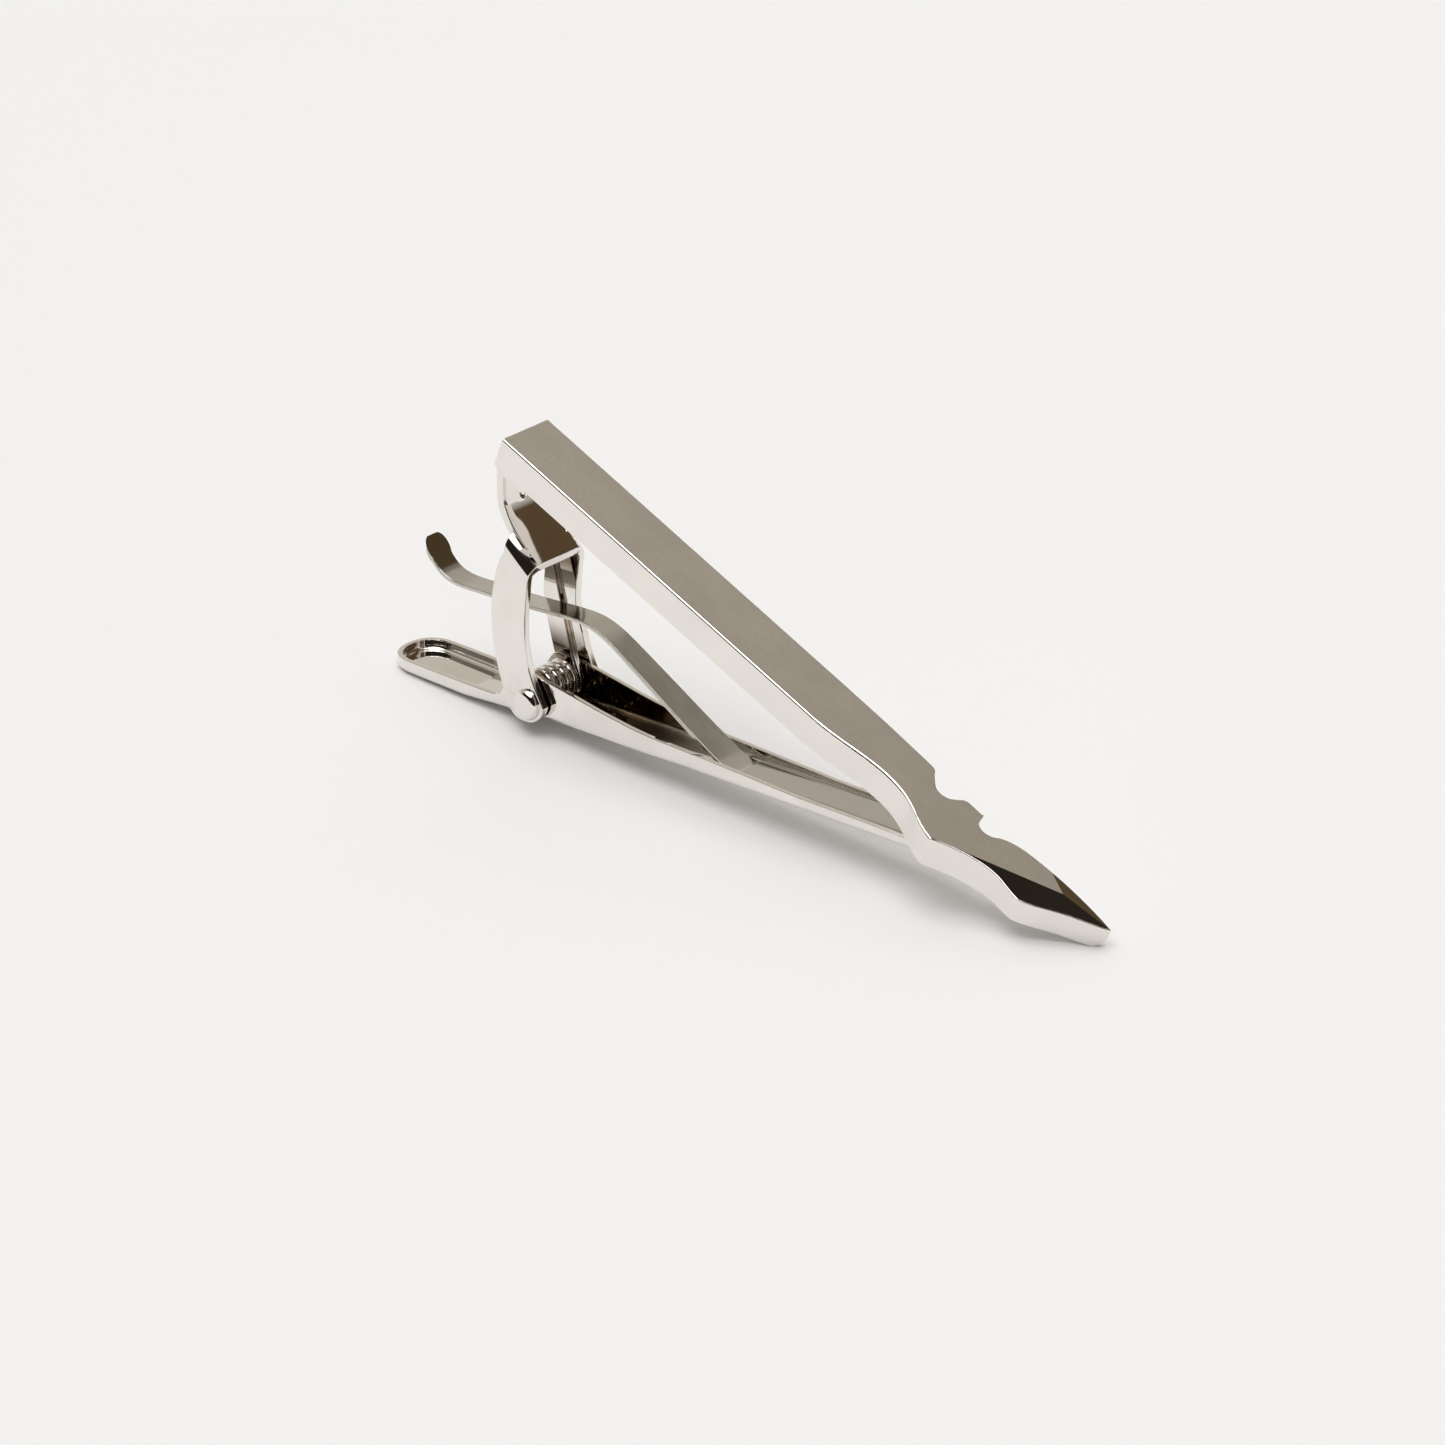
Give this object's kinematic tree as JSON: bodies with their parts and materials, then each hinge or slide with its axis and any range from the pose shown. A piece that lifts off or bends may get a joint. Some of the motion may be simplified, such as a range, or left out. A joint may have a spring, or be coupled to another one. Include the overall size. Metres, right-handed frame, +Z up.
{
  "type": "tie clip",
  "caption": "Spring tie clip: a flat shaped bar over a hinged trough-like jaw and tongue, closed by a coil spring at the rear.",
  "frame": {"origin": "centre of the bounding box in X and Y, on the table under the tail and the bar's point", "axes": "+X from the hinge towards the bar's point, +Z up, away from the table; the hinge pin runs along Y"},
  "size_m": [0.0685, 0.007, 0.0228],
  "materials": {
    "bar_plate": "satin plated top, polished sides",
    "bracket_sheet": "polished plating",
    "solder": "plated solder, slightly uneven",
    "rivet": "polished plating",
    "spring_wire": "bright drawn wire",
    "jaw_sheet": "polished plating",
    "tongue_sheet": "polished plating"
  },
  "bodies": {
    "bar": {"front_bar": "bar_plate", "hinge_bracket": "bracket_sheet", "solder_joint": "solder", "hinge_pin": "rivet", "torsion_spring": "spring_wire"},
    "jaw": {"lower_jaw": "jaw_sheet", "tongue": "tongue_sheet"}
  },
  "joints": [
    {"name": "jaw_pivot", "type": "hinge", "parent": "bar", "child": "jaw", "pos_m": [-0.01869, 0, 0.00252], "axis": [0, 1, 0], "range_deg": [0, 30], "stiffness_Nm_per_rad": 0.023, "springref_deg": -40.11, "deforming": ["torsion_spring"]}
  ]
}
